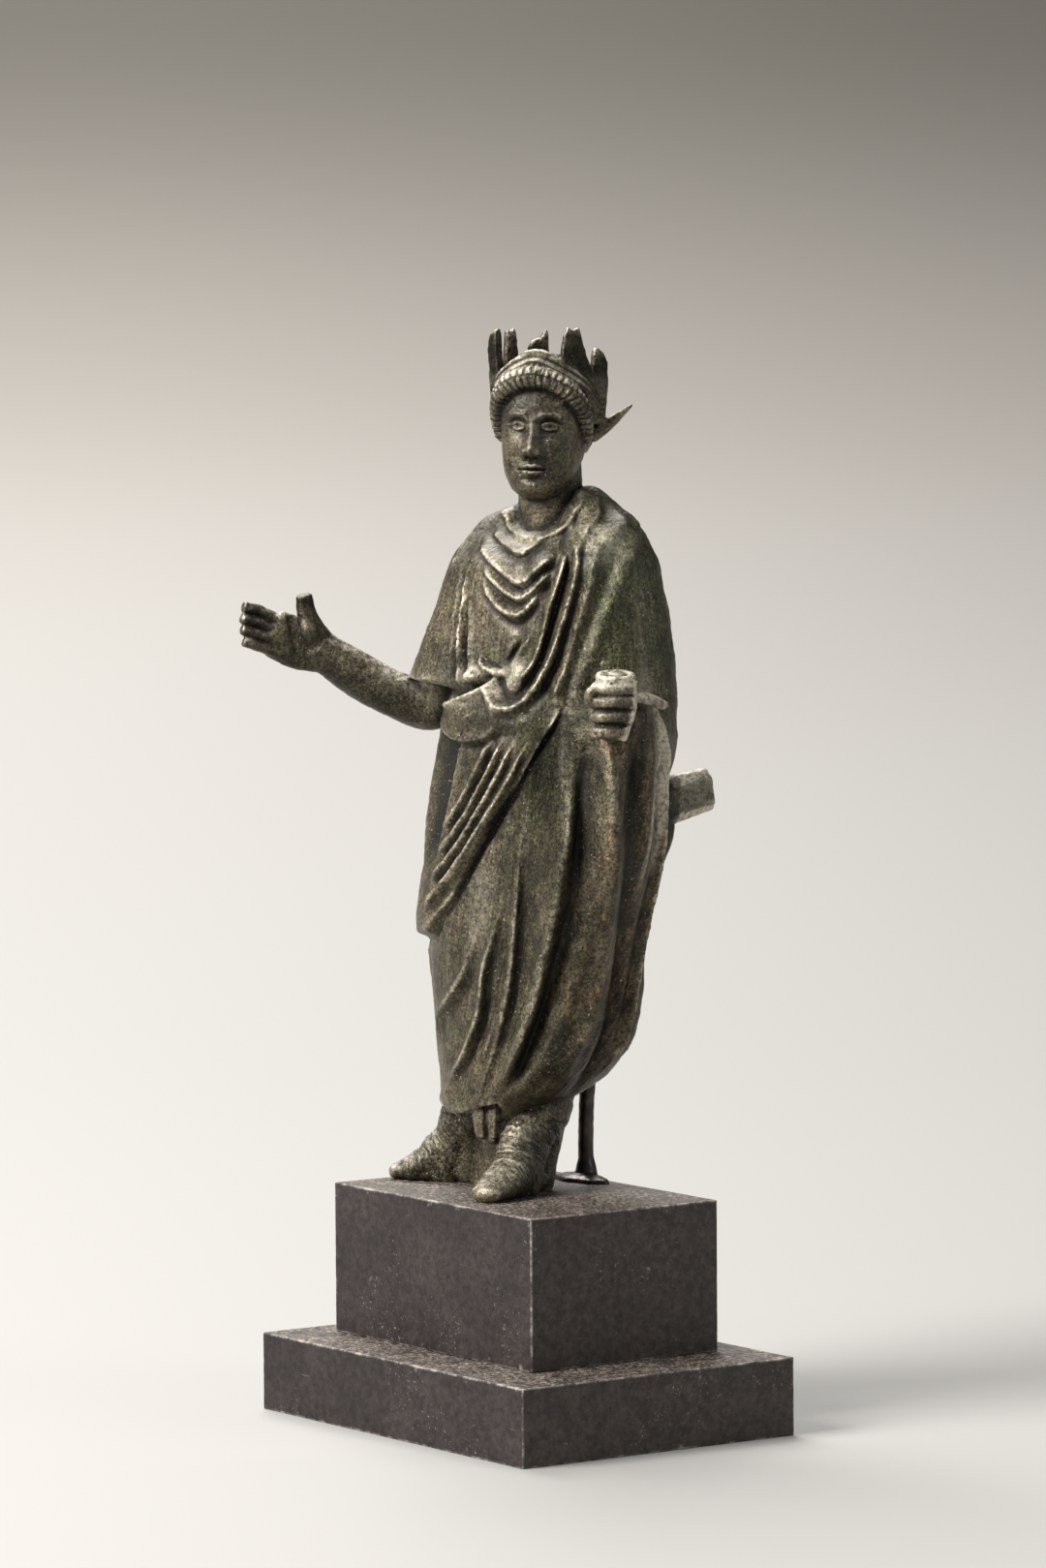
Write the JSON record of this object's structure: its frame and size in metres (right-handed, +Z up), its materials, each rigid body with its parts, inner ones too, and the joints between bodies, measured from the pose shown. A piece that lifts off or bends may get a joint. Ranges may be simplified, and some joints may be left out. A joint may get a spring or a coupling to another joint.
{
  "type": "roman emperor statue",
  "caption": "Draped and crowned bronze statuette of a ruler with one arm reaching out, held by a rod on a stepped black plinth.",
  "frame": {"origin": "centre of the lower slab's underside", "axes": "+Z up; -Y is the front of the plinth, the wide side the figure's feet and hips face; +X is the figure's left"},
  "size_m": [0.0804, 0.0623, 0.183],
  "materials": {
    "lower_slab": "black paint with a dull sheen, scuffed grey at the edges and dusty on top",
    "upper_block": "black paint with a dull sheen, scuffed grey at the edges and dusty on top",
    "mount_rod": "dull black painted steel",
    "bronze_figure": "old cast bronze with a dark brown and olive green patina, rubbed paler on the ridges, with brown stains and pale dust"
  },
  "bodies": {
    "root": {"lower_slab": "lower_slab", "upper_block": "upper_block", "mount_rod": "mount_rod", "bronze_figure": "bronze_figure"}
  },
  "joints": []
}
